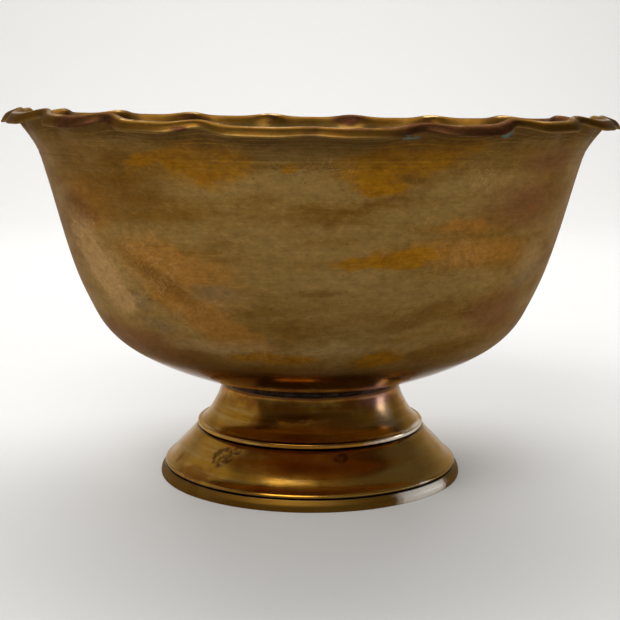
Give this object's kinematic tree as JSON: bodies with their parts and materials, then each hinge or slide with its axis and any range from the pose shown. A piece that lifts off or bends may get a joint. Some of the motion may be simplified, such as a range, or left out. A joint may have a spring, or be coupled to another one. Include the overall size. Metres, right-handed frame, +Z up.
{
  "type": "footed bowl",
  "caption": "Deep round brass bowl with a fluted, turned-over lip on a stepped, flared pedestal foot, soft-soldered at the neck and at the foot's joints.",
  "frame": {"origin": "on the bowl's axis, on the flat surface that the base ring stands on", "axes": "+Z up along the axis; a crest of the lip faces -Y, and the lobes are mirrored about the YZ plane, but the rim stands about 2 mm higher on -X than on +X"},
  "size_m": [0.2544, 0.2547, 0.1564],
  "materials": {
    "bowl_brass": "aged and tarnished, semi-matte, with brush and lathe lines",
    "foot_brass": "polished, with fine turning lines and water stains",
    "solder": "dull blue-grey soft solder"
  },
  "bodies": {
    "root": {"bowl": "bowl_brass", "neck_solder": "solder", "foot_collar": "foot_brass", "collar_solder": "solder", "foot_skirt": "foot_brass", "base_solder": "solder", "base_ring": "foot_brass"}
  },
  "joints": []
}
